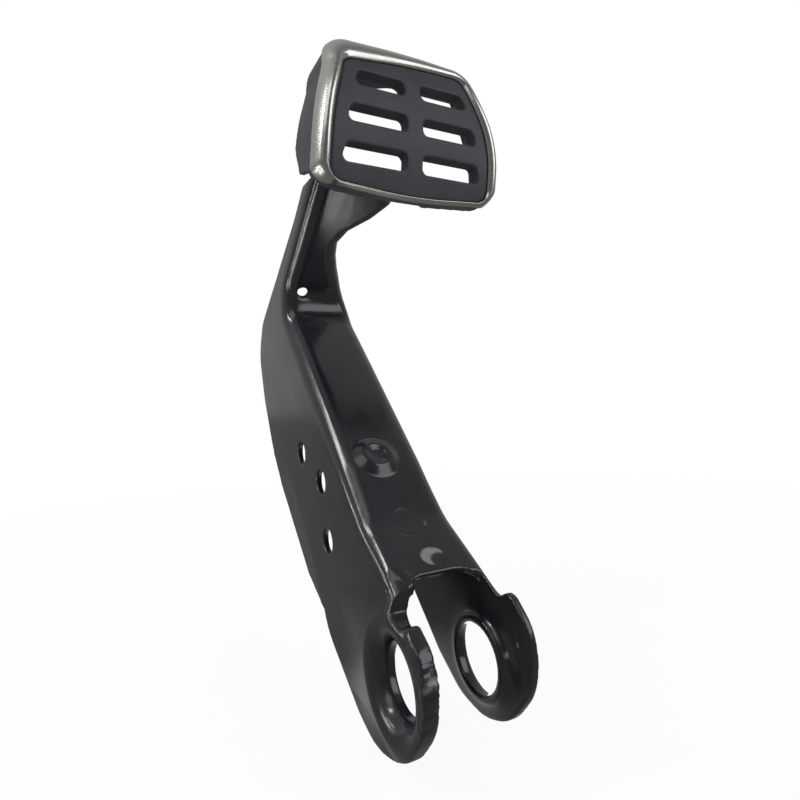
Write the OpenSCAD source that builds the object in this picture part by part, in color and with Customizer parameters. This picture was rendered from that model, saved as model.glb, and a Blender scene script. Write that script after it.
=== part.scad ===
/* [Pivot] */
// Diameter of the pivot bore through both ears
bore_d = 26; // [18:1:30]
// Width over the outer faces of the two flanges
lever_w = 40; // [32:1:50]
// Thickness of the collar wall drawn inwards around the bore
collar_wall = 3; // [2:0.5:5]
// How far the collars stand in from the inner faces of the flanges
collar_in = 3.6; // [2:0.2:7]
// How far the drawn rounding spreads outside the bore
collar_round = 9.5; // [6:0.5:9.5]

/* [Lever] */
// Thickness of the pressed sheet
sheet = 3; // [2:0.5:4]
// Outer radius of the bends between web and flanges
bend_r = 8; // [6:0.5:9]
// Outer radius of the same bends at the ears
bend_low_r = 4.5; // [4:0.5:6]
// Diameter of the three holes in the left flange
flange_hole_d = 11.4; // [6:0.2:14]
// Diameter of the small hole in the web of the stem
stem_hole_d = 5.4; // [3:0.2:8]
// Base radius of the drawn boss on the web
boss_r = 10.5; // [7:0.5:13]
// Height of the drawn boss on the web
boss_h = 2.6; // [1:0.2:4]
// How far the pressed step leans in from the left flange
step_in = 2; // [1:0.2:3]
// Right edge of the stem at its narrowest, from the middle of the bore
neck_x = 3; // [0:0.5:12]
// Height of the narrowest place of the stem
neck_z = 179; // [174:1:184]
// Right edge of the flare under the pad, from the middle of the bore
flare_x = 24; // [20:1:28]
// Depth of the right edge of the stem
stem_lip = 14; // [11:1:20]
// Width of the opening at the lower end of the web
mouth_w = 33; // [28:1:34]
// Length of the opening at the lower end of the web
mouth_len = 16; // [10:1:20]

/* [Pad] */
// Sideways place of the middle of the pad
pad_x = 25; // [15:1:35]
// Distance of the middle of the pad's face behind the pivot axis
pad_y = 49; // [46:1:52]
// Height of the middle of the pad above the pivot axis
pad_z = 226; // [224:1:228]
// Radius of the curved face of the pad
face_r = 87; // [75:1:120]
// Half width of the rubber face at its lower corners
low_half = 42; // [38:0.5:46]
// Half width of the rubber face at its upper left corner
high_half = 33.3; // [30:0.1:36]
// Half width of the rubber face at its upper right corner
high_right = 29; // [27:0.1:36]
// Height of the upper left corner above the middle of the face
high_z = 25.4; // [23:0.1:30]
// Height of the upper right corner above the middle of the face
high_right_z = 30.6; // [23:0.1:32]
// Thickness of the rubber in front of the plate
rubber_t = 7; // [5:0.5:10]
// Thickness of the rubber side walls
wall_t = 5; // [3:0.5:6]
// Depth of the side walls, from the middle of the face to their back edge
wall_depth = 36; // [25:1:40]
// Depth of the bottom lip, from the middle of the face to its back edge
lip_depth = 16; // [13:1:22]
// Height of the middle slots
slot_h = 7.8; // [6:0.2:9]
// Change of slot height from row to row
slot_h_step = 0.5; // [0:0.1:1]
// Distance between the rows of slots
slot_pitch = 17; // [15:0.5:18]
// Width of the bar between the two columns of slots
slot_bar = 8.4; // [6:0.2:12]
// Half width over the upper row of slots
slot_half_high = 28.8; // [24:0.5:29]
// Half width over the lower row of slots
slot_half_low = 35.8; // [30:0.2:36]
// How much further out the middle row reaches than the line between the other rows
slot_bulge = 0.9; // [0:0.1:3]
// How much further out the slots reach along their lower edge
slot_slant = 3; // [0:0.1:3]
// Corner radius of the slots
slot_r = 2.6; // [1:0.2:3]

/* [Plate and trim] */
// Thickness of the pedal plate
plate_t = 3; // [2:0.5:4]
// How much larger the plate's windows are than the slots, on each side
window_gap = 1.8; // [0:0.1:2.5]
// Width of the trim frame at the sides
trim_w = 7.3; // [6.5:0.1:9]
// Width of the trim frame at the middle of the top
trim_top = 11.5; // [8:0.5:13]
// How much the top of the frame widens to the left and narrows to the right
trim_taper = 4; // [0:0.5:5]
// Width of the trim frame at the bottom
trim_low = 1.8; // [2:0.2:8]
// Height of the trim above the rubber face
trim_h = 2.2; // [1:0.2:4]
// Height of the trim's bottom leg above the rubber face
trim_h_low = 1.1; // [0.5:0.1:4]
// Depth of the trim's side band behind the face
trim_side = 7.5; // [5:0.5:9]
// Depth of the trim's bottom band behind the face
trim_side_low = 1.2; // [1:0.2:7]
// Thickness of the trim's metal
trim_t = 0.8; // [0.6:0.1:1.2]

/* [Hidden] */

half_w = lever_w / 2;
clear = 0.15;
bore_r = bore_d / 2;

// front line of the channel in side view, from the ears over the elbow to the pad: [y, z, corner radius]
front = [
    [-11.5, 25.5, 0], [24, 50, 40], [44, 72, 60], [98, 126, 60], [126, 153.5, 13],
    [pad_y + 1, pad_z - 16, 0]
];
elbow_z = 146;
flare_z = pad_z - 31;
// upper end of the stem, below the lowest slots
stem_end = pad_z - 23;

// outer part of the left flange's side outline, from the ear round the back to the pad: [y, z, corner radius]
left_side = [
    [4, 33, 3], [1, 25, 4], [-9, 21.5, 3], [-13, 24.5, 3], [-22, 18, 10], [-26, 6, 22], [-22.5, -8, 26],
    [-12, -21, 26], [4, -30.5, 26], [20, -34, 26], [36, -28, 30], [72, -5, 30], [79, 16, 12], [129, 66, 12],
    [155, 70, 8], [172, 101, 30], [181, 130, 22], [171, 149, 20], [pad_y + 42, pad_z - 30, 60],
    [pad_y + 11, pad_z - 10, 6], [pad_y + 5, pad_z - 14, 1]
];
// outer part of the right flange's side outline
right_side = [
    [-9.5, 25.2, 2], [-16.5, 29.2, 4], [-26.5, 19.5, 16], [-29, 8, 24], [-26, -4, 26], [-14, -19, 24],
    [1, -24.3, 24], [17, -21.5, 24], [33, -10.5, 24], [134, 88, 30], [149, 106, 12], [134, 127, 8]
];
// places of the three flange holes: [y, z]
flange_holes = [[65.5, 35.5], [72, 61.5], [100, 73]];
// pressed step on the left flange: crease points and free edge points: [y, z]
crease = [[78, 15], [91, 28], [104, 41], [117, 54], [130, 67]];
free_edge = [[75, 2], [101, 12], [123.5, 30.5], [143.5, 49.5], [155, 70]];
step_wave = [0, 0.75, 1, 0.75, 0];
// the straight stem, and the sideways places of its hole and of the boss
stem_start = [front[4][0], front[4][1]];
stem_run = [front[5][0], front[5][1]] - stem_start;
stem_hole = stem_start + 0.105 * stem_run;
stem_hole_x = 9.6 - half_w;
boss_x = 17 - half_w;

// half outline of the rubber face, counted from the middle of the pad: [x, z, corner radius]
side_bulge = low_half - 0.8;
corner_r = 6;
face_outline = [
    [-low_half, -29.2, corner_r], [0, -32, 250], [low_half, -29.2, corner_r], [side_bulge, -2, 150],
    [high_right, high_right_z, corner_r], [0, (high_z + high_right_z) / 2 + 2, 250],
    [-high_half, high_z, corner_r], [-side_bulge, -2, 150]
];

axis_y = pad_y + face_r;
back_y = pad_y + wall_depth;
lip_y = pad_y + lip_depth;

function unit(v) = v / norm(v);
function flat2(v) = [v[0], v[1]];
// arc of a rounded corner b between a and c
function corner(a, b, c, r, n) =
    let (u = unit(a - b), v = unit(c - b), half = acos(max(-1, min(1, u * v))) / 2)
    (r <= 0 || half > 89.5) ? [b] :
    let (
        reach = min(r / tan(half), 0.49 * norm(a - b), 0.49 * norm(c - b)),
        rr = reach * tan(half),
        m = b + unit(u + v) * rr / sin(half),
        p = b + u * reach - m, q = b + v * reach - m,
        a0 = atan2(p[1], p[0]), turn = atan2(p[0] * q[1] - p[1] * q[0], p * q)
    )
    [for (i = [0:n]) m + rr * [cos(a0 + turn * i / n), sin(a0 + turn * i / n)]];
function closed_round(p, n = 5) = let (k = len(p))
    [for (i = [0:k - 1]) let (a = p[(i + k - 1) % k], b = p[i], c = p[(i + 1) % k])
        each corner(flat2(a), flat2(b), flat2(c), b[2], n)];
function open_round(p, n = 5) = let (k = len(p))
    [flat2(p[0]), for (i = [1:k - 2]) each corner(flat2(p[i - 1]), flat2(p[i]), flat2(p[i + 1]), p[i][2], n),
     flat2(p[k - 1])];
// the same line with no step longer than gap
function refine(p, gap) =
    [for (i = [0:len(p) - 2]) let (k = max(1, ceil(norm(p[i + 1] - p[i]) / gap)))
        for (j = [0:k - 1]) p[i] + (p[i + 1] - p[i]) * j / k, p[len(p) - 1]];
function smooth(t) = let (c = max(0, min(1, t))) c * c * (3 - 2 * c);
// outward normal of a closed line that runs against the clock
function out_normal(p, i) = let (k = len(p), d = unit(p[(i + 1) % k] - p[(i + k - 1) % k])) [d[1], -d[0]];
function grown(p, off) = [for (i = [0:len(p) - 1]) p[i] + off * out_normal(p, i)];

face_loop = refine(concat(closed_round(face_outline, 9), [closed_round(face_outline, 9)[0]]), 7);
face_line = [for (i = [0:len(face_loop) - 2]) face_loop[i]];
// width of the trim where the outline faces this way, and an outline set in from the trim's outer edge
function trim_width(n, x) =
    trim_w + (n[1] > 0 ? (trim_top - trim_taper * x / high_half - trim_w) * pow(n[1], 2.6)
    : (trim_w - trim_low) * n[1]);
function trim_band(n) = trim_side - (n[1] < 0 ? (trim_side - trim_side_low) * n[1] * n[1] : 0);
function trim_rise(n) = trim_h - (n[1] < 0 ? (trim_h - trim_h_low) * n[1] * n[1] : 0);
function rim(inset) = [for (i = [0:len(face_line) - 1]) let (n = out_normal(face_line, i))
    face_line[i] + (trim_width(n, face_line[i][0]) - inset) * n];
function rim_share(f) = [for (i = [0:len(face_line) - 1]) let (n = out_normal(face_line, i))
    face_line[i] + f * trim_width(n, face_line[i][0]) * n];

front_line = refine(open_round(front, 6), 9);
// the front line moved back into the flanges by this depth, from the pad down to the height or depth given
function set_back(d) = let (k = len(front_line)) [for (i = [k - 1:-1:0])
    let (t = unit(front_line[min(i + 1, k - 1)] - front_line[max(i - 1, 0)]))
    [front_line[i][0] + d * t[1], front_line[i][1] - d * t[0], 0]];

// right outer edge of the channel at height z
function right_edge(z) =
    z < neck_z ? half_w + (neck_x - half_w) * smooth((z - elbow_z) / (neck_z - elbow_z))
    : neck_x + (flare_x - neck_x) * smooth((z - neck_z) / (flare_z - neck_z));

// the bends tighten towards the ears
function bend_at(z) = bend_low_r + (bend_r - bend_low_r) * smooth((z - 28) / 36);
// section of the channel: [x, depth], with its bends of outer radius b
function bend(cx, r, b, from, to, n) =
    [for (i = [0:n]) let (a = from + (to - from) * i / n) [cx + r * cos(a), b - r * sin(a)]];
function section(xr, lip, b) = let (xa = -half_w + b, xb = xr - b) concat(
    [[-half_w, lip]], bend(xa, b, b, 180, 90, 5), bend(xb, b, b, 90, 0, 5), [[xr, lip]],
    [[xr - sheet, lip]], bend(xb, b - sheet, b, 0, 90, 5), bend(xa, b - sheet, b, 90, 180, 5),
    [[-half_w + sheet, lip]]);

// side faces and end caps of a swept thin section: m points to a ring, the second half mirrors the first
function swept_faces(k, m) = let (h = m / 2) concat(
    [for (j = [0:h - 2]) each [[j, j + 1, m - 2 - j], [j, m - 2 - j, m - 1 - j]]],
    [for (i = [0:k - 2]) for (j = [0:m - 1]) each [
        [i * m + j, (i + 1) * m + (j + 1) % m, i * m + (j + 1) % m],
        [i * m + j, (i + 1) * m + j, (i + 1) * m + (j + 1) % m]]],
    [for (j = [0:h - 2]) let (e = (k - 1) * m) each [
        [e + j, e + m - 2 - j, e + j + 1], [e + j, e + m - 1 - j, e + m - 2 - j]]]);

module side(x0, thick) {
    translate([x0, 0, 0]) rotate([90, 0, 90]) linear_extrude(height = thick) children();
}
// prism that runs along y, drawn in the plane of the pad's face
module pad_prism(y0, y1) {
    translate([pad_x, y1, pad_z]) rotate([90, 0, 0]) linear_extrude(height = y1 - y0) children();
}
// everything behind the curved surface that lies back from the face by this much
module behind_face(back) {
    translate([pad_x - 80, axis_y + back, pad_z]) rotate([0, 90, 0]) cylinder(r = face_r, h = 160, $fn = 180);
}

// curved web with its two bends, swept along the front line
module channel() {
    line = front_line;
    k = len(line);
    rings = [for (i = [0:k - 1]) let (
            d = unit(line[min(i + 1, k - 1)] - line[max(i - 1, 0)]),
            inward = [d[1], -d[0]],
            z = line[i][1],
            lip = bend_r + 3 + (stem_lip - bend_r - 3) * smooth((z - elbow_z + 12) / 24))
        [for (q = section(right_edge(z), lip, bend_at(z))) let (p = line[i] + inward * q[1]) [q[0], p[0], p[1]]]];
    m = len(rings[0]);
    polyhedron(points = [for (r = rings) each r], faces = swept_faces(k, m), convexity = 8);
}

// collar drawn inwards around the bore, on the side given by sgn
module collar(sgn) {
    x_in = half_w - sheet - collar_in;
    x_face = half_w;
    flat_x = half_w - sheet;
    rotate([0, sgn * 90, 0]) rotate_extrude($fn = 96) polygon(concat(
        [[bore_r, x_in]],
        [for (i = [0:6]) [bore_r + collar_round * (1 - cos(i * 15)), flat_x + sheet * sin(i * 15)]],
        [[bore_r + collar_round + 2, x_face], [bore_r + collar_round + 2, flat_x]],
        [for (i = [6:-1:0]) [bore_r + collar_wall + (collar_round - 2) * (1 - cos(i * 15)),
            x_in + 1 + (flat_x - x_in - 1) * sin(i * 15)]],
        [[bore_r + collar_wall, x_in]]));
}

// strip outside the crease of the left flange, leaning out towards the middle of its length
module pressed_step() {
    n = len(crease);
    inset = [for (i = [0:n - 1]) crease[i] + unit(crease[i] - free_edge[i]) * 1];
    rings = [for (i = [0:n - 1]) let (o = -step_in * step_wave[i]) [
        [-half_w + sheet, inset[i][0], inset[i][1]], [-half_w + sheet, crease[i][0], crease[i][1]],
        [-half_w + sheet - o, free_edge[i][0], free_edge[i][1]],
        [-half_w - o, free_edge[i][0], free_edge[i][1]],
        [-half_w, crease[i][0], crease[i][1]], [-half_w, inset[i][0], inset[i][1]]]];
    polyhedron(points = [for (r = rings) each r], faces = swept_faces(n, 6), convexity = 4);
}

// opening at the lower end of the web
module mouth() {
    tilt = atan2(front[1][1] - front[0][1], front[1][0] - front[0][0]);
    translate([0, front[0][0], front[0][1]]) rotate([tilt, 0, 0]) translate([0, 0, -12])
        linear_extrude(height = 24) polygon(closed_round([
            [-mouth_w / 2, -20, 0], [mouth_w / 2, -20, 0],
            [mouth_w / 2, mouth_len, 9], [-mouth_w / 2, mouth_len, 9]], 6));
}

// drawn boss on the web
module boss() {
    translate([boss_x, front[2][0] + 2, front[2][1] + 2])
        rotate([atan2(front[3][1] - front[2][1], front[3][0] - front[2][0]), 0, 0])
        rotate_extrude($fn = 48) polygon([
        [0, -1], [boss_r, -1], [boss_r, 0], [boss_r - 2, 0.5 * boss_h], [boss_r - 4, boss_h],
        [boss_r - 5.5, boss_h], [boss_r - 7, 0.6 * boss_h], [0, 0.4 * boss_h]]);
}

// whole side outlines of the two flanges
module left_outline() {
    polygon(closed_round(concat(left_side, [for (p = set_back(bend_r + 0.8)) if (p[0] > 6) p])));
}
module right_outline() {
    polygon(closed_round(concat(right_side, [for (p = set_back(bend_r + 0.8))
        if (p[1] < elbow_z - 12 && norm([p[0], p[1]]) > bore_r + collar_round + 4) p])));
}

module lever() {
    color("#23272c") difference() {
        union() {
            difference() {
                union() {
                    difference() {
                        channel();
                        mouth();
                        translate([-half_w - 1, -30, 10]) cube([half_w - mouth_w / 2 + 8, 29, 40]);
                        translate([mouth_w / 2 - 8, -30, 10])
                            cube([half_w - sheet - mouth_w / 2 + 8, 30, 40]);
                    }
                    side(-half_w, sheet) left_outline();
                    side(half_w - sheet, sheet) right_outline();
                    pressed_step();
                }
                rotate([0, 90, 0])
                    cylinder(r = bore_r + collar_round + 1, h = 2 * lever_w, center = true, $fn = 96);
            }
            intersection() {
                collar(1);
                side(0, half_w) right_outline();
            }
            intersection() {
                collar(-1);
                side(-half_w, half_w) left_outline();
            }
            boss();
        }
        for (h = flange_holes) translate([-half_w - 5, h[0], h[1]]) rotate([0, 90, 0])
            cylinder(d = flange_hole_d, h = 12, $fn = 48);
        translate([stem_hole_x, stem_hole[0], stem_hole[1]]) rotate([-atan2(stem_run[1], -stem_run[0]), 0, 0])
            cylinder(d = stem_hole_d, h = 24, center = true, $fn = 32);
        // the stem stops at the back of the pedal plate
        difference() {
            translate([-50, 20, pad_z - 40]) cube([120, 70, 60]);
            behind_face(rubber_t + clear + plate_t);
        }
        translate([-50, 20, stem_end]) cube([120, 90, 60]);
    }
}

// the six slots, grown by this much on each side
module slots(grow) {
    for (row = [-1:1]) {
        h = slot_h - row * slot_h_step + 2 * grow;
        z = row * slot_pitch;
        far = (slot_half_high + slot_half_low) / 2 + row * (slot_half_high - slot_half_low) / 2
            + (row == 0 ? slot_bulge : 0) + grow;
        near = slot_bar / 2 - grow;
        for (s = [-1, 1]) polygon(closed_round([
            [s * near, z - s * h / 2, slot_r], [s * (far + s * slot_slant / 2), z - s * h / 2, slot_r],
            [s * (far - s * slot_slant / 2), z + s * h / 2, slot_r], [s * near, z + s * h / 2, slot_r]], 5));
    }
}

module pedal_plate() {
    color("#1f2328") intersection() {
        difference() {
            behind_face(rubber_t + clear);
            behind_face(rubber_t + clear + plate_t);
        }
        difference() {
            pad_prism(pad_y - 5, pad_y + 60) polygon(rim(wall_t + 1 + clear));
            pad_prism(pad_y - 6, pad_y + 61) slots(window_gap);
        }
    }
}

module rubber_pad() {
    color("#2c3036") difference() {
        union() {
            intersection() {
                behind_face(trim_side);
                pad_prism(pad_y - 5, back_y) polygon(rim(trim_t + clear));
            }
            intersection() {
                behind_face(1 + clear);
                pad_prism(pad_y - 5, back_y) polygon(rim_share(0.5));
            }
            intersection() {
                behind_face(0);
                pad_prism(pad_y - 5, back_y) polygon(grown(face_line, -clear));
            }
        }
        // seat of the plate
        intersection() {
            difference() {
                behind_face(rubber_t);
                behind_face(rubber_t + 2 * clear + plate_t);
            }
            pad_prism(pad_y - 5, pad_y + 60) polygon(rim(wall_t + 1));
        }
        // hollow behind the plate
        intersection() {
            behind_face(rubber_t + plate_t);
            pad_prism(pad_y - 5, pad_y + 90) polygon(rim(wall_t + 4));
        }
        pad_prism(pad_y - 6, pad_y + 61) slots(0);
        // lower ends of the side walls
        side(pad_x - 80, 160) polygon([[lip_y, pad_z - 76], [lip_y, pad_z - 23], [back_y - 8, pad_z - 20],
            [back_y + 0.5, pad_z - 4], [back_y + 20, pad_z - 4], [back_y + 20, pad_z - 76]]);
        // the side wall is deep on the left only
        translate([0, 0, pad_z - 80]) linear_extrude(height = 160) polygon([
            [pad_x - 13, back_y + 1], [pad_x + 23, lip_y], [pad_x + 80, lip_y], [pad_x + 80, back_y + 1]]);
        // room for the stem and its flare
        intersection() {
            behind_face(rubber_t + plate_t);
            translate([-half_w - 0.4, 30, pad_z - 76]) cube([half_w + flare_x + 11, 100, 69]);
        }
        translate([-half_w - 0.4, pad_y + 9.5, pad_z - 76]) cube([half_w + flare_x + 11, 60, 44.5]);
    }
}

// section of the trim frame for a width, a height and a band depth: [outwards, forwards]
function trim_section(w, h, band) = [
    [0, -1], [0, 0.3], [0.16 * w, 0.8 * h], [0.34 * w, h], [0.52 * w, 0.8 * h], [0.7 * w, 0.1 * h],
    [0.88 * w, -0.4 * band], [w, -band], [w - trim_t, -band], [0.88 * w - trim_t, -0.4 * band - 0.2],
    [0.6 * w, -1]
];

module pad_trim() {
    k = len(face_line);
    rings = [for (i = [0:k - 1]) let (nrm = out_normal(face_line, i))
        [for (q = trim_section(trim_width(nrm, face_line[i][0]), trim_rise(nrm), trim_band(nrm)))
            let (p = face_line[i] + nrm * q[0])
            [pad_x + p[0], axis_y - sqrt(face_r * face_r - p[1] * p[1]) - q[1], pad_z + p[1]]]];
    m = len(rings[0]);
    color("#b9b8b2") polyhedron(points = [for (r = rings) each r],
        faces = [for (i = [0:k - 1]) for (j = [0:m - 1]) let (a = i * m, b = ((i + 1) % k) * m) each [
            [a + j, b + (j + 1) % m, a + (j + 1) % m], [a + j, b + j, b + (j + 1) % m]]],
        convexity = 8);
}

lever();
pedal_plate();
rubber_pad();
pad_trim();
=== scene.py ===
import math

import bmesh
import bpy
from bpy.props import FloatProperty, FloatVectorProperty, IntProperty, PointerProperty
from mathutils import Matrix, Vector, noise as field


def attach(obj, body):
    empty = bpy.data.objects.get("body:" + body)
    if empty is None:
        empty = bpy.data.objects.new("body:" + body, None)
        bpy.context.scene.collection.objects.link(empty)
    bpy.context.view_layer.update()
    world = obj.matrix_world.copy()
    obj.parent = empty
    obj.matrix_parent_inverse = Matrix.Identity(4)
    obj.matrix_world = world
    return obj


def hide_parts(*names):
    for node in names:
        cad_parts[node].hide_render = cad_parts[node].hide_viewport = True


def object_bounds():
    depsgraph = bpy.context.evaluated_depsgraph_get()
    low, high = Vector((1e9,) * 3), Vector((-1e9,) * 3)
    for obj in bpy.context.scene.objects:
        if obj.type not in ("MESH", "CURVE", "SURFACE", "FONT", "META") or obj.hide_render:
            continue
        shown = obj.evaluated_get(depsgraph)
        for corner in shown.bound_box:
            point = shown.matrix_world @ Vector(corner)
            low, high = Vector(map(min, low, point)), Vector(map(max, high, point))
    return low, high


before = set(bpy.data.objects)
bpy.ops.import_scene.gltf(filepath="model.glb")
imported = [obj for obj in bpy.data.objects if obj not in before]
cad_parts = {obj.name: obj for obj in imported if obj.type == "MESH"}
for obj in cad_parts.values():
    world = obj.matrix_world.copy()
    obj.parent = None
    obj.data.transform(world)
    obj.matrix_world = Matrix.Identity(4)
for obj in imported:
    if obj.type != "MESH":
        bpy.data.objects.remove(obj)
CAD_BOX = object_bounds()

bl_info = {
    "name": "Brake pedal",
    "version": (1, 0, 0),
    "blender": (4, 5, 0),
    "location": "3D View > Sidebar > Pedal",
    "description": "Paint, rubber and metal for the pedal, with its studio",
    "category": "Object",
}

MM = 0.001
MOST_TRIANGLES = 180000             # limit for one piece
MERGE = 0.002 * MM                  # points of a frame node that are closer than this are one point

# Lever, in millimetres from the middle of the pivot bore.
ELBOW = (127, 150)                  # Y and Z of the crease across the elbow
ELBOW_REACH = 24                    # how far from the crease the lever is rounded
NEAR_SIDE, FAR_SIDE = (-17, -20), (17, 20)      # X inside each ear, and at its outer face
EAR_REACH = 46                      # how far from the axis of the bore the ears are reshaped
NEAR_EAR, FAR_EAR = 3.1, 1.2        # how much thicker each ear gets
DISH = 0.8                          # how deep the near ear is dished round its bore
LIP = (0.5, 29)                     # Y and Z of the lip where the near flange meets the mouth
LIP_REACH, LIP_MOVE = 11, 3.4
TEAR = (-25, 6)                     # Y and Z of the torn front edge of the near ear
TEAR_REACH = (9, 24)
TEAR_GRAIN = 5
ROUND_MARK = (-1.2, 22, 49.7)       # middle of the round mark in the web
MARK_RADIUS, MARK_HALF_WIDTH, MARK_DEPTH = 6.8, 1.8, 0.3    # its groove in the mesh
MARK_OUTER, MARK_INNER = 7.4, 6.3   # radii of its groove in the paint

# Worn spots in the paint, and small painted highlights among them, each with its place and its half sizes.
# Millimetres.
CRESCENT = ((1.2, 7.8, 38.9), (5.4, 4.6, 4.6))
CRESCENT_HOLLOW = ((3.4, 6.2, 37.4), (4.6, 4, 4))
# the first, on the rim of the round mark, is a painted glint; the others, on the ears, are rubbed spots and
# painted glints together
RUBS_AND_GLINTS = (
    ((6, 21, 48.8), (1.1, 2, 2)),
    ((17, -16, 7), (4, 1.6, 2)),
    ((17, -21, 12), (4, 1, 1.6)),
    ((-20, -24, 10), (5, 1.4, 4)),
)
RUB_AND_GLINT_SOFT = 0.7

# Face of the pad. Each corner has its X and its height in the plane of the face, and its radius. Millimetres.
FACE = (
    (-42, -29.2, 6), (0, -32, 250), (42, -29.2, 6), (41.2, -2, 150),
    (29, 30.6, 6), (0, 30, 250), (-33.3, 25.4, 6), (-41.2, -2, 150),
)
FACE_MIDDLE = Vector((25, 49, 226))
FACE_RADIUS = 87                    # the face bulges towards the foot over its height
STRAIGHT = 89.5                     # half angle in degrees from which a corner isn't rounded
MOST_OF_SIDE = 0.49                 # share of a side that one rounding may take

# Bright frame of the pad. Millimetres.
FRAME_STEP = 1.5                    # longest step along the frame
TOP_WIDTH, TOP_TAPER = 11.5, 4 / 33.3           # width at the middle of the top, and its loss per mm of X
TOP_SPREAD = 2.6                    # how quickly the corners lead over to the width of the top
BOTTOM_WIDTH = 1.8
RISE, BOTTOM_RISE = 2.2, 1.1        # height of the crown above the pad's face
BAND, BOTTOM_BAND = 7.5, 1.2        # how far the outer edge reaches back
SHEET = 0.8                         # thickness of the sheet at that edge

# Studio. Metres.
LOW, HIGH = Vector(CAD_BOX[0]), Vector(CAD_BOX[1])
MIDDLE = (LOW + HIGH) / 2
STEM, FLARE = (-0.018, 0.09, 0.185), (-0.008, 0.071, 0.195)
WHITE = (1, 1, 1)
# Each lamp has its name, the setting of its power, its share of that power, its width and height, its place,
# the point that it looks at and its colour. The last four only draw highlights.
LAMPS = (
    ("key", "key", 1, (0.5, 0.5), (-0.55, -0.25, 0.75), MIDDLE, (1, 0.99, 0.97)),
    ("fill", "fill", 1, (0.65, 0.65), (0.4, -0.62, 0.5), MIDDLE, (0.95, 0.97, 1)),
    ("strip", "strip", 1, (0.045, 0.3), (-0.558, 0.18, 0.59), MIDDLE, WHITE),
    ("low", "low", 1, (0.11, 0.006), (-0.249, 0.174, 0.014), STEM, WHITE),
    ("low", "low", 1, (0.11, 0.006), (-0.27, 0.21, 0.08), STEM, WHITE),
    ("flare", "low", 0.25, (0.045, 0.045), (0.065, 0.054, -0.025), FLARE, WHITE),
)
FLOOR_SIZE = 6.0
FLOOR_GAP = 0.0005                  # how far the floor lies below the pedal
FLOOR_PATCH = (0.035, 0.06, 0)      # middle of the floor that gloss mirrors brightly, below the pad
CAMERA_PLACE = (-0.10446, -0.17163, 0.09833)
CAMERA_YAW, CAMERA_ROLL = 0.483, -0.037         # radians
SENSOR_WIDTH = 36.0                 # millimetres
CLIP_START = 0.005


class PaintSettings(bpy.types.PropertyGroup):
    """Black paint of the lever and of the pedal plate, and the lever's mesh"""

    colour: FloatVectorProperty(
        name="Colour", description="Colour of the paint", subtype="COLOR", size=3, min=0, max=1,
        default=(0.0095, 0.0108, 0.0128))
    # also the colour of the painted glints on the round mark and the ears
    worn_and_glints: FloatVectorProperty(
        name="Worn colour", description="Colour where the paint has rubbed through", subtype="COLOR",
        size=3, min=0, max=1, default=(0.26, 0.245, 0.21))
    roughness: FloatProperty(
        name="Roughness", description="Roughness of clean paint", default=0.16, min=0.05, max=1)
    cell: FloatProperty(
        name="Grid", description="Spacing of the mesh that rounds edges and bends",
        default=0.6 * MM, min=0.5 * MM, max=3 * MM, subtype="DISTANCE", unit="LENGTH")
    burr: FloatProperty(
        name="Burr", description="Depth of the tears in the edge of the near ear",
        default=0.9 * MM, min=0, max=2 * MM, subtype="DISTANCE", unit="LENGTH")


class RubberSettings(bpy.types.PropertyGroup):
    """Rubber of the pad"""

    colour: FloatVectorProperty(
        name="Colour", description="Colour of the rubber", subtype="COLOR", size=3, min=0, max=1,
        default=(0.03, 0.033, 0.037))
    roughness: FloatProperty(
        name="Roughness", description="Roughness of the rubber", default=0.55, min=0.2, max=1)
    cell: FloatProperty(
        name="Grid", description="Spacing of the mesh that rounds the edges",
        default=0.5 * MM, min=0.4 * MM, max=2 * MM, subtype="DISTANCE", unit="LENGTH")


class TrimSettings(bpy.types.PropertyGroup):
    """Bright metal frame of the pad"""

    colour: FloatVectorProperty(
        name="Colour", description="Colour of the metal", subtype="COLOR", size=3, min=0, max=1,
        default=(0.53, 0.515, 0.48))
    roughness: FloatProperty(
        name="Roughness", description="Roughness of the brushed metal", default=0.22, min=0.05, max=1)
    side: FloatProperty(
        name="Side width", description="Width of the frame's two sides",
        default=7.3 * MM, min=5 * MM, max=9 * MM, subtype="DISTANCE", unit="LENGTH")
    steps: IntProperty(
        name="Corner steps", description="Steps round each corner", default=20, min=6, max=40)


class StudioSettings(bpy.types.PropertyGroup):
    """Floor, lamps and camera"""

    key: FloatProperty(
        name="Key lamp", description="Power of the key lamp", default=1.1, min=0, unit="POWER")
    fill: FloatProperty(
        name="Fill lamp", description="Power of the fill lamp", default=3.2, min=0, unit="POWER")
    strip: FloatProperty(
        name="Strip lamp", description="Power of the tall lamp that draws the lines along the bends",
        default=1.3, min=0, unit="POWER")
    sky: FloatProperty(
        name="Sky", description="Strength of the soft light from all round", default=0.6, min=0)
    mirror: FloatProperty(
        name="Backdrop in gloss", description="How bright the backdrop is where gloss mirrors it",
        default=0.5, min=0, max=1)
    floor_mirror: FloatProperty(
        name="Floor in gloss", description="How bright the far floor is where gloss mirrors it",
        default=0.2, min=0, max=1)
    low: FloatProperty(
        name="Low lamps", description="Power of each low lamp that draws the streaks along the stem",
        default=0.07, min=0, unit="POWER")
    lens: FloatProperty(
        name="Lens", description="Focal length", default=24.687, min=10, max=100, unit="CAMERA")


def fresh_material(name):
    """New material, as (material, tree, Principled shader, Object coordinates)."""
    mat = bpy.data.materials.new(name)
    mat.use_nodes = True
    tree = mat.node_tree
    coords = node(tree, "ShaderNodeTexCoord").outputs["Object"]
    return mat, tree, tree.nodes["Principled BSDF"], coords


def node(tree, kind, **values):
    """Adds a node and sets its inputs and properties by name."""
    made = tree.nodes.new(kind)
    for key, value in values.items():
        if key in made.inputs:
            made.inputs[key].default_value = value
        else:
            setattr(made, key, value)
    return made


def plug(tree, value, target):
    """Links an output to an input, or sets the input to a plain value."""
    if isinstance(value, bpy.types.NodeSocket):
        tree.links.new(value, target)
    else:
        target.default_value = value


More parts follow.
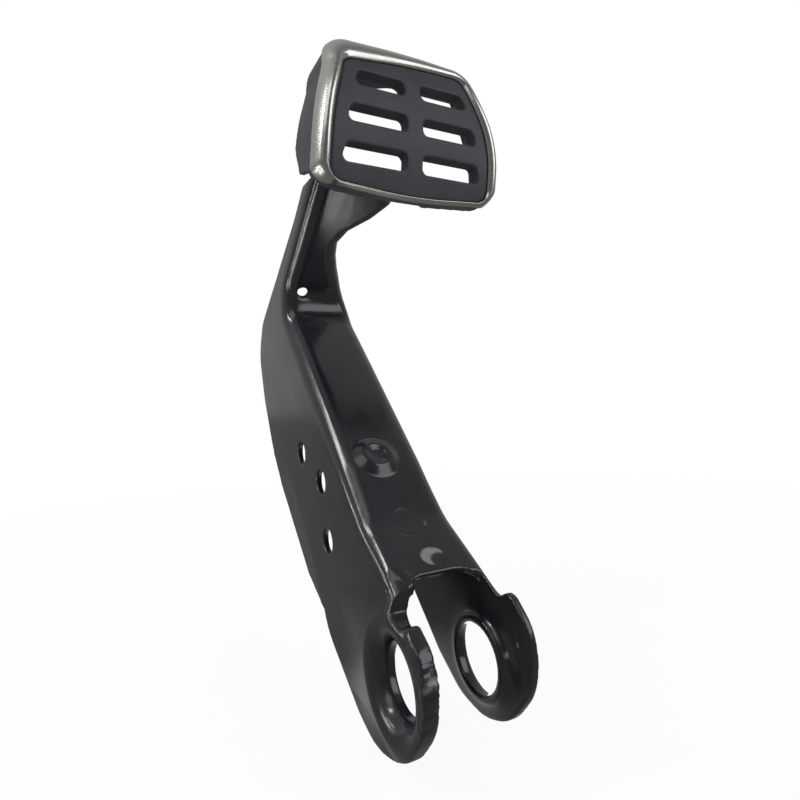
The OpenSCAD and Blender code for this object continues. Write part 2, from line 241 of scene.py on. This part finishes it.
def noise(tree, coords, scale, detail=4.0, stretch=(1, 1, 1)):
    """Noise on the piece's own coordinates, in features per metre."""
    turn = node(tree, "ShaderNodeMapping")
    turn.inputs["Scale"].default_value = stretch
    tree.links.new(coords, turn.inputs["Vector"])
    made = node(tree, "ShaderNodeTexNoise", Scale=scale, Detail=detail, Roughness=0.55)
    tree.links.new(turn.outputs["Vector"], made.inputs["Vector"])
    return made.outputs["Fac"]


def ramp(tree, value, low, high, out_low=0.0, out_high=1.0):
    """Clamped straight line from one range to another."""
    made = node(tree, "ShaderNodeMapRange")
    made.inputs["From Min"].default_value = low
    made.inputs["From Max"].default_value = high
    made.inputs["To Min"].default_value = out_low
    made.inputs["To Max"].default_value = out_high
    tree.links.new(value, made.inputs["Value"])
    return made.outputs["Result"]


def calc(tree, kind, a, b):
    """One arithmetic step on two outputs or numbers."""
    made = node(tree, "ShaderNodeMath", operation=kind)
    plug(tree, a, made.inputs[0])
    plug(tree, b, made.inputs[1])
    return made.outputs[0]


def blob(tree, coords, place, size, soft):
    """0 outside an ellipsoid at a place, rising to 1 over the soft share of its size. Millimetres."""
    turn = node(tree, "ShaderNodeMapping")
    turn.vector_type = "TEXTURE"
    turn.inputs["Location"].default_value = [v * MM for v in place]
    turn.inputs["Scale"].default_value = [v * MM for v in size]
    tree.links.new(coords, turn.inputs["Vector"])
    length = node(tree, "ShaderNodeVectorMath", operation="LENGTH")
    tree.links.new(turn.outputs["Vector"], length.inputs[0])
    return ramp(tree, length.outputs["Value"], 1.0, 1.0 - soft)


def shade(colour, gain, lift=0.0):
    """Lighter or darker copy of a colour."""
    return [min(1, c * gain + lift) for c in colour]


def mix_colour(tree, share, a, b):
    """Mixes two colours, each an output or three numbers."""
    made = node(tree, "ShaderNodeMix", data_type="RGBA")
    tree.links.new(share, made.inputs["Factor"])
    ends = [s for s in made.inputs if s.type == "RGBA"]
    for colour, end in zip((a, b), ends):
        plug(tree, colour if isinstance(colour, bpy.types.NodeSocket) else (*colour, 1), end)
    return [s for s in made.outputs if s.type == "RGBA"][0]


def mix_shader(tree, share, a, b, target):
    """Mixes two shaders into an input."""
    made = node(tree, "ShaderNodeMixShader")
    for output, end in zip((share, a, b), made.inputs):
        tree.links.new(output, end)
    tree.links.new(made.outputs[0], target)


def bump(tree, shader, height, strength, distance):
    """Bump from a height."""
    made = node(tree, "ShaderNodeBump", Strength=strength, Distance=distance)
    tree.links.new(height, made.inputs["Height"])
    tree.links.new(made.outputs["Normal"], shader.inputs["Normal"])


def black_paint(cfg):
    """Glossy dip paint on pressed steel, with specks, rubbed spots, painted glints and a bare crescent."""
    mat, tree, shader, coords = fresh_material("dip_paint")
    tone = noise(tree, coords, 38.0, detail=3.0)
    fine = noise(tree, coords, 420.0, detail=5.0)
    streak = noise(tree, coords, 160.0, stretch=(1, 0.25, 0.25))
    specks = ramp(tree, noise(tree, coords, 900.0, detail=2.0), 0.73, 0.78)
    clean = mix_colour(tree, ramp(tree, tone, 0.3, 0.7), cfg.colour[:], shade(cfg.colour, 1.5, 0.002))
    # bare crescent on the web
    crescent = calc(tree, "SUBTRACT", blob(tree, coords, *CRESCENT, soft=0.18),
                    blob(tree, coords, *CRESCENT_HOLLOW, soft=0.3))
    crescent = calc(tree, "MAXIMUM", crescent, 0.0)
    crescent = calc(tree, "MULTIPLY", crescent, ramp(tree, fine, 0.25, 0.45, 0.55, 0.9))
    # rubbed spots and painted glints (small painted highlights) beside it and on the ears
    rubs_and_glints = blob(tree, coords, *RUBS_AND_GLINTS[0], soft=RUB_AND_GLINT_SOFT)
    for place, size in RUBS_AND_GLINTS[1:]:
        rubs_and_glints = calc(tree, "MAXIMUM", rubs_and_glints, blob(tree, coords, place, size, RUB_AND_GLINT_SOFT))
    rubs_and_glints = calc(tree, "MULTIPLY", rubs_and_glints, ramp(tree, fine, 0.42, 0.56, 0.0, 0.7))
    # wear and painted highlights share one colour from here on
    worn_and_glints = calc(tree, "MAXIMUM", crescent, rubs_and_glints)
    worn_and_glints = calc(tree, "MAXIMUM", worn_and_glints, calc(tree, "MULTIPLY", specks, 0.25))
    tree.links.new(mix_colour(tree, worn_and_glints, clean, cfg.worn_and_glints[:]), shader.inputs["Base Color"])
    rough = calc(tree, "ADD", ramp(tree, streak, 0.35, 0.7, 0.0, 0.09), cfg.roughness)
    rough = calc(tree, "ADD", rough, calc(tree, "MULTIPLY", worn_and_glints, 0.3))
    tree.links.new(rough, shader.inputs["Roughness"])
    shader.inputs["Specular IOR Level"].default_value = 0.62
    height = calc(tree, "ADD", calc(tree, "MULTIPLY", fine, 0.25), noise(tree, coords, 90.0, detail=2.0))
    # shallow groove of the round mark
    groove = calc(tree, "SUBTRACT", blob(tree, coords, ROUND_MARK, [MARK_OUTER] * 3, soft=0.12),
                  blob(tree, coords, ROUND_MARK, [MARK_INNER] * 3, soft=0.14))
    height = calc(tree, "SUBTRACT", height, calc(tree, "MULTIPLY", groove, 1.3))
    bump(tree, shader, height, 0.3, 0.25 * MM)
    return mat


def pad_rubber(cfg):
    """Matt moulded rubber with a fine grain."""
    mat, tree, shader, coords = fresh_material("moulded_rubber")
    tone = noise(tree, coords, 55.0)
    grain = noise(tree, coords, 1800.0, detail=3.0)
    colour = mix_colour(tree, ramp(tree, tone, 0.3, 0.7), cfg.colour[:], shade(cfg.colour, 1.35, 0.003))
    tree.links.new(colour, shader.inputs["Base Color"])
    rough = calc(tree, "ADD", ramp(tree, grain, 0.3, 0.7, -0.06, 0.08), cfg.roughness)
    tree.links.new(rough, shader.inputs["Roughness"])
    shader.inputs["Specular IOR Level"].default_value = 0.42
    bump(tree, shader, grain, 0.35, 0.08 * MM)
    return mat


def bright_metal(cfg):
    """Satin steel with fine upright lines and faint smears."""
    mat, tree, shader, coords = fresh_material("satin_steel")
    lines = noise(tree, coords, 700.0, detail=3.0, stretch=(4, 4, 0.25))
    smear = noise(tree, coords, 70.0)
    colour = mix_colour(tree, ramp(tree, smear, 0.35, 0.7), cfg.colour[:], shade(cfg.colour, 0.8))
    tree.links.new(colour, shader.inputs["Base Color"])
    rough = calc(tree, "ADD", ramp(tree, lines, 0.3, 0.7, -0.03, 0.06), cfg.roughness)
    rough = calc(tree, "ADD", rough, ramp(tree, smear, 0.4, 0.8, 0.0, 0.1))
    tree.links.new(rough, shader.inputs["Roughness"])
    shader.inputs["Metallic"].default_value = 1.0
    bump(tree, shader, lines, 0.08, 0.05 * MM)
    return mat


def new_object(name, shape):
    """Object in the scene from a bmesh, which is freed."""
    mesh = bpy.data.meshes.new(name)
    shape.to_mesh(mesh)
    shape.free()
    made = bpy.data.objects.new(name, mesh)
    bpy.context.scene.collection.objects.link(made)
    return made


def baked(piece):
    """Gives a piece its evaluated mesh and drops its modifiers."""
    mesh = bpy.data.meshes.new_from_object(piece.evaluated_get(bpy.context.evaluated_depsgraph_get()))
    piece.modifiers.clear()
    piece.data = mesh


def relax(piece, passes, group=""):
    """Adds the smoothing of a piece, or of one of its vertex groups."""
    step = piece.modifiers.new("relax", "SMOOTH")
    step.factor = 0.5
    step.iterations = passes
    step.vertex_group = group


def smooth_copy(name, cell, passes):
    """Copy of a frame node on an even grid with rounded edges and bends, thinned to the piece's limit."""
    shape = bmesh.new()
    shape.from_mesh(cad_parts[name].data)
    bmesh.ops.remove_doubles(shape, verts=shape.verts, dist=MERGE)
    piece = new_object(name + "_fine", shape)
    grid = piece.modifiers.new("grid", "REMESH")
    grid.mode = "VOXEL"
    grid.voxel_size = cell
    relax(piece, passes)
    baked(piece)
    triangles = sum(len(face.vertices) - 2 for face in piece.data.polygons)
    if triangles > MOST_TRIANGLES:
        thin = piece.modifiers.new("thin", "DECIMATE")
        thin.ratio = MOST_TRIANGLES / triangles
        baked(piece)
    return piece


def soften(piece, place, reach, passes):
    """Rounds a crease that runs along X, near a place in the YZ plane. Millimetres."""
    near = piece.vertex_groups.new(name="near")
    for vertex in piece.data.vertices:
        weight = bell(math.hypot(vertex.co.y / MM - place[0], vertex.co.z / MM - place[1]) / reach)
        if weight > 0:
            near.add([vertex.index], weight, "REPLACE")
    relax(piece, passes, near.name)
    baked(piece)
    piece.vertex_groups.clear()


def finish_piece(piece, name, material):
    """Gives a piece smooth shading and its finish, and puts it in place of its frame node."""
    piece.data.materials.clear()
    piece.data.materials.append(material)
    for face in piece.data.polygons:
        face.use_smooth = True
    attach(piece, "root")
    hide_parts(name)


def dress(name, material):
    """Puts a finish on a frame node, in every slot."""
    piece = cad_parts[name]
    if not piece.material_slots:
        piece.data.materials.append(material)
    for slot in piece.material_slots:
        slot.material = material


def fade(value, zero, one):
    """Smooth share from 0 to 1 as a value goes from zero to one, and no less or more beyond them."""
    share = max(0.0, min(1.0, (value - zero) / (one - zero)))
    return share * share * (3 - 2 * share)


def bell(distance):
    """1 at 0, falling smoothly to 0 at 1 on both sides."""
    return 1 - fade(abs(distance), 0, 1)


def swell_ears(x, y, z):
    """Sideways move of a point of the ears, in mm: both get thicker, and the near one is dished."""
    r = math.hypot(y, z)
    if x < 0:
        front = fade(-y / max(r, 1), 0.15, 0.65) * fade(z, -26, -14)
        spread = max(fade(r, 31, 21), front * fade(r, 44, 34))
        dish = DISH * (1 - fade(r, 13, 21))
        return (dish - NEAR_EAR * spread) * fade(x, *NEAR_SIDE)
    return FAR_EAR * fade(r, 30, 20) * fade(x, *FAR_SIDE)


def shape_lever(place, normal, burr):
    """New place of a point: thicker ears, lip and torn edge at the mouth, and the round mark in the web."""
    x, y, z = place / MM
    push = 0.0
    if math.hypot(y, z) < EAR_REACH:
        lip = bell(math.hypot(y - LIP[0], z - LIP[1]) / LIP_REACH) * fade(x, -20, -17) * fade(x, -12, -14)
        edge = (fade(x, -14, -17) * bell((z - TEAR[1]) / TEAR_REACH[1])
                * bell((y - TEAR[0]) / TEAR_REACH[0]))
        x += swell_ears(x, y, z) + LIP_MOVE * lip
        tear = abs(field.fractal(Vector((x, y, z)) / TEAR_GRAIN, 0.8, 2.1, 3)) * 1.4 - 0.3
        push = tear * (edge + 0.4 * lip) * burr / MM
    # round mark, on the outer face of the web only
    if abs(x) < 16 and 10 < z < 75 and normal.y < -0.2:
        push += MARK_DEPTH * bell((math.dist((x, y, z), ROUND_MARK) - MARK_RADIUS) / MARK_HALF_WIDTH)
    return (Vector((x, y, z)) - normal * push) * MM


class PEDAL_OT_lever(bpy.types.Operator):
    """Shape and paint the pressed lever, and paint the pedal plate"""

    bl_idname = "pedal.lever"
    bl_label = "Lever"

    def execute(self, context):
        cfg = context.scene.pedal_paint
        paint = black_paint(cfg)
        lever = smooth_copy("lever", cfg.cell, passes=6)
        soften(lever, ELBOW, ELBOW_REACH, passes=90)
        # every point is read before one is moved, because a move has all the normals worked out again
        points = [(vertex.co.copy(), vertex.normal.copy()) for vertex in lever.data.vertices]
        moved = [shape_lever(place, normal, cfg.burr) for place, normal in points]
        lever.data.vertices.foreach_set("co", [value for place in moved for value in place])
        lever.data.update()
        finish_piece(lever, "lever", paint)
        dress("pedal_plate", paint)
        return {"FINISHED"}


class PEDAL_OT_rubber(bpy.types.Operator):
    """Shape and finish the rubber pad"""

    bl_idname = "pedal.rubber"
    bl_label = "Rubber pad"

    def execute(self, context):
        cfg = context.scene.pedal_rubber
        pad = smooth_copy("rubber_pad", cfg.cell, passes=4)
        finish_piece(pad, "rubber_pad", pad_rubber(cfg))
        return {"FINISHED"}


def round_corner(a, b, c, radius, steps):
    """Arc that rounds corner b between a and c, or b alone where the line is all but straight."""
    u, v = (a - b).normalized(), (c - b).normalized()
    half = math.acos(max(-1, min(1, u.dot(v)))) / 2
    if math.degrees(half) > STRAIGHT:
        return [b]
    reach = min(radius / math.tan(half), MOST_OF_SIDE * (a - b).length, MOST_OF_SIDE * (c - b).length)
    radius = reach * math.tan(half)
    middle = b + (u + v).normalized() * radius / math.sin(half)
    p, q = b + u * reach - middle, b + v * reach - middle
    start = math.atan2(p.y, p.x)
    turn = math.atan2(p.x * q.y - p.y * q.x, p.dot(q))
    angles = [start + turn * i / steps for i in range(steps + 1)]
    return [middle + radius * Vector((math.cos(angle), math.sin(angle))) for angle in angles]


def pairs(ring):
    """Each item of a closed line with the next one."""
    return zip(ring, ring[1:] + ring[:1])


def even_steps(points, gap):
    """Closed line with no step longer than gap."""
    out = []
    for a, b in pairs(points):
        parts = max(1, math.ceil((b - a).length / gap))
        out += [a + (b - a) * i / parts for i in range(parts)]
    return out


def cut_corners(ring):
    """Softer copy of a closed line: each corner is cut at a fifth of its two sides."""
    out = []
    for a, b in pairs(ring):
        for s, t in ((0.8, 0.2), (0.2, 0.8)):
            out.append((a[0] * s + b[0] * t, a[1] * s + b[1] * t))
    return out


def frame_section(x, up, side):
    """Section of the pad's frame, as places across it and heights above the pad's face. Millimetres.

    up is how far its outer edge points up, from -1 at the bottom to 1 at the top.
    """
    if up > 0:
        width = side + (TOP_WIDTH - TOP_TAPER * x - side) * up ** TOP_SPREAD
        rise, band = RISE, BAND
    else:
        width = side + (side - BOTTOM_WIDTH) * up
        rise = RISE - (RISE - BOTTOM_RISE) * up ** 2
        band = BAND - (BAND - BOTTOM_BAND) * up ** 2
    section = [
        (0, -1), (0, 0.3), (0.16 * width, 0.8 * rise), (0.34 * width, rise), (0.52 * width, 0.8 * rise),
        (0.7 * width, 0.1 * rise), (0.88 * width, -0.4 * band), (width, -band), (width - SHEET, -band),
        (0.88 * width - SHEET, -0.4 * band - 0.2), (0.6 * width, -1),
    ]
    return cut_corners(cut_corners(section))


def swept_frame(cfg):
    """Frame of the pad: its section carried round the face, widest and deepest at the top."""
    corners = [Vector(corner[:2]) for corner in FACE]
    loop = []
    for i, corner in enumerate(corners):
        following = corners[(i + 1) % len(corners)]
        loop += round_corner(corners[i - 1], corner, following, FACE[i][2], cfg.steps)
    loop = even_steps(loop, FRAME_STEP)
    shape = bmesh.new()
    rings = []
    for i, point in enumerate(loop):
        ahead = (loop[(i + 1) % len(loop)] - loop[i - 1]).normalized()
        out = Vector((ahead.y, -ahead.x))
        ring = []
        for across, up in frame_section(point.x, out.y, cfg.side / MM):
            flat = point + out * across
            depth = FACE_RADIUS - math.sqrt(FACE_RADIUS ** 2 - flat.y ** 2)
            ring.append(shape.verts.new((FACE_MIDDLE + Vector((flat.x, depth - up, flat.y))) * MM))
        rings.append(ring)
    for ring, following in pairs(rings):
        for (a, b), (c, d) in zip(pairs(ring), pairs(following)):
            shape.faces.new((a, c, d, b))
    bmesh.ops.recalc_face_normals(shape, faces=shape.faces)
    return new_object("pad_trim_fine", shape)


class PEDAL_OT_trim(bpy.types.Operator):
    """Make and finish the bright frame of the pad"""

    bl_idname = "pedal.trim"
    bl_label = "Trim"

    def execute(self, context):
        cfg = context.scene.pedal_trim
        finish_piece(swept_frame(cfg), "pad_trim", bright_metal(cfg))
        return {"FINISHED"}


def lamp(name, power, size, place, aim, colour):
    """Area lamp, wide and high as given, that looks at a point. The camera doesn't see it."""
    light = bpy.data.lights.new(name, "AREA")
    light.energy = power
    light.shape = "RECTANGLE"
    light.size, light.size_y = size
    light.color = colour
    made = bpy.data.objects.new(name, light)
    made.location = place
    made.rotation_euler = (Vector(aim) - Vector(place)).to_track_quat("-Z", "Y").to_euler()
    made.visible_camera = False
    bpy.context.scene.collection.objects.link(made)


def seen_straight(tree, path):
    """1 for rays from the camera, also through something clear."""
    return calc(tree, "MAXIMUM", path.outputs["Is Camera Ray"], path.outputs["Is Transmission Ray"])


def studio_world(cfg):
    """White to the camera. As light it is brightest behind the pedal, and in gloss it has its own strength."""
    world = bpy.data.worlds.new("studio")
    bpy.context.scene.world = world
    world.use_nodes = True
    tree = world.node_tree
    tree.nodes.clear()
    path = node(tree, "ShaderNodeLightPath")
    ray = node(tree, "ShaderNodeTexCoord")
    split = node(tree, "ShaderNodeSeparateXYZ")
    tree.links.new(ray.outputs["Generated"], split.inputs[0])
    # full behind the pedal and overhead, dimmer in front and a little dimmer low down
    front = ramp(tree, split.outputs["Y"], -0.6, 0.35, 0.3, 1.0)
    above = ramp(tree, split.outputs["Z"], 0.15, 0.7, 0.9, 1.0)
    room = calc(tree, "MULTIPLY", front, above)
    level = calc(tree, "MULTIPLY", path.outputs["Is Glossy Ray"], cfg.mirror - cfg.sky)
    level = calc(tree, "ADD", level, cfg.sky)
    soft = node(tree, "ShaderNodeBackground", Color=(0.95, 0.98, 1.0, 1))
    tree.links.new(calc(tree, "MULTIPLY", room, level), soft.inputs["Strength"])
    white = node(tree, "ShaderNodeBackground", Strength=1.0, Color=(*WHITE, 1))
    out = node(tree, "ShaderNodeOutputWorld")
    mix_shader(tree, seen_straight(tree, path), soft.outputs[0], white.outputs[0], out.inputs["Surface"])


def floor_material(cfg):
    """White floor that keeps a soft shadow near the pedal and meets the white backdrop far off."""
    mat, tree, shader, coords = fresh_material("floor")
    shader.inputs["Base Color"].default_value = (0.9, 0.9, 0.9, 1)
    shader.inputs["Roughness"].default_value = 0.9
    path = node(tree, "ShaderNodeLightPath")
    glow = node(tree, "ShaderNodeEmission", Color=(*WHITE, 1))
    away = node(tree, "ShaderNodeVectorMath", operation="LENGTH")
    tree.links.new(coords, away.inputs[0])
    straight = calc(tree, "MULTIPLY", seen_straight(tree, path),
                    ramp(tree, away.outputs["Value"], 0.15, 0.9, 0.93, 1.0))
    # in gloss the floor is bright below the pad and dim farther off
    below = node(tree, "ShaderNodeVectorMath", operation="DISTANCE")
    tree.links.new(coords, below.inputs[0])
    below.inputs[1].default_value = FLOOR_PATCH
    patch = ramp(tree, below.outputs["Value"], 0.02, 0.075, 0.95, cfg.floor_mirror)
    direct = calc(tree, "SUBTRACT", 1.0, path.outputs["Is Glossy Ray"])
    tree.links.new(calc(tree, "MAXIMUM", direct, patch), glow.inputs["Strength"])
    share = calc(tree, "MAXIMUM", straight, path.outputs["Is Glossy Ray"])
    surface = tree.nodes["Material Output"].inputs["Surface"]
    mix_shader(tree, share, shader.outputs[0], glow.outputs[0], surface)
    return mat


def lay_floor(cfg):
    """Floor just below the pedal."""
    shape = bmesh.new()
    bmesh.ops.create_grid(shape, x_segments=1, y_segments=1, size=FLOOR_SIZE)
    floor = new_object("floor", shape)
    floor.location.z = LOW.z - FLOOR_GAP
    floor.data.materials.append(floor_material(cfg))


def camera_turn():
    """Place and turn of the camera: level, lower than the elbow, and turned to the pad's far side."""
    looking_ahead = Matrix(((1, 0, 0), (0, 0, -1), (0, 1, 0)))
    roll = Matrix.Rotation(-CAMERA_ROLL, 3, "Z").inverted_safe()
    yaw = Matrix.Rotation(CAMERA_YAW, 3, "Y").inverted_safe()
    right, down, ahead = roll @ yaw @ looking_ahead
    turn = Matrix((right, -down, -ahead)).transposed().to_4x4()
    turn.translation = CAMERA_PLACE
    return turn


def set_camera(cfg):
    """Camera that sees the pedal as the photograph does."""
    lens = bpy.data.cameras.new("camera")
    lens.lens = cfg.lens
    lens.sensor_width = SENSOR_WIDTH
    lens.clip_start = CLIP_START
    camera = bpy.data.objects.new("camera", lens)
    camera.matrix_world = camera_turn()
    bpy.context.scene.collection.objects.link(camera)
    bpy.context.scene.camera = camera


class PEDAL_OT_studio(bpy.types.Operator):
    """Floor, lamps, world and camera"""

    bl_idname = "pedal.studio"
    bl_label = "Studio"

    def execute(self, context):
        cfg = context.scene.pedal_studio
        lay_floor(cfg)
        studio_world(cfg)
        for name, setting, share, size, place, aim, colour in LAMPS:
            lamp(name, getattr(cfg, setting) * share, size, place, aim, colour)
        set_camera(cfg)
        context.scene.view_settings.view_transform = "Standard"
        return {"FINISHED"}


class PEDAL_PT_panel(bpy.types.Panel):
    """Settings and steps of the pedal"""

    bl_idname = "PEDAL_PT_panel"
    bl_label = "Brake pedal"
    bl_space_type = "VIEW_3D"
    bl_region_type = "UI"
    bl_category = "Pedal"

    def draw(self, context):
        for group, step in STEPS:
            box = self.layout.box()
            settings = getattr(context.scene, group)
            for key in settings.__annotations__:
                box.prop(settings, key)
            box.operator(step.bl_idname)


GROUPS = {
    "pedal_paint": PaintSettings,
    "pedal_rubber": RubberSettings,
    "pedal_trim": TrimSettings,
    "pedal_studio": StudioSettings,
}
STEPS = (
    ("pedal_paint", PEDAL_OT_lever),
    ("pedal_rubber", PEDAL_OT_rubber),
    ("pedal_trim", PEDAL_OT_trim),
    ("pedal_studio", PEDAL_OT_studio),
)


def register():
    for group in GROUPS.values():
        bpy.utils.register_class(group)
    for _, step in STEPS:
        bpy.utils.register_class(step)
    bpy.utils.register_class(PEDAL_PT_panel)
    for name, group in GROUPS.items():
        setattr(bpy.types.Scene, name, PointerProperty(type=group))


def unregister():
    for name in GROUPS:
        delattr(bpy.types.Scene, name)
    bpy.utils.unregister_class(PEDAL_PT_panel)
    for _, step in reversed(STEPS):
        bpy.utils.unregister_class(step)
    for group in reversed(list(GROUPS.values())):
        bpy.utils.unregister_class(group)


def main():
    register()
    bpy.ops.pedal.lever()
    bpy.ops.pedal.rubber()
    bpy.ops.pedal.trim()
    bpy.ops.pedal.studio()


if __name__ == "__main__":
    main()
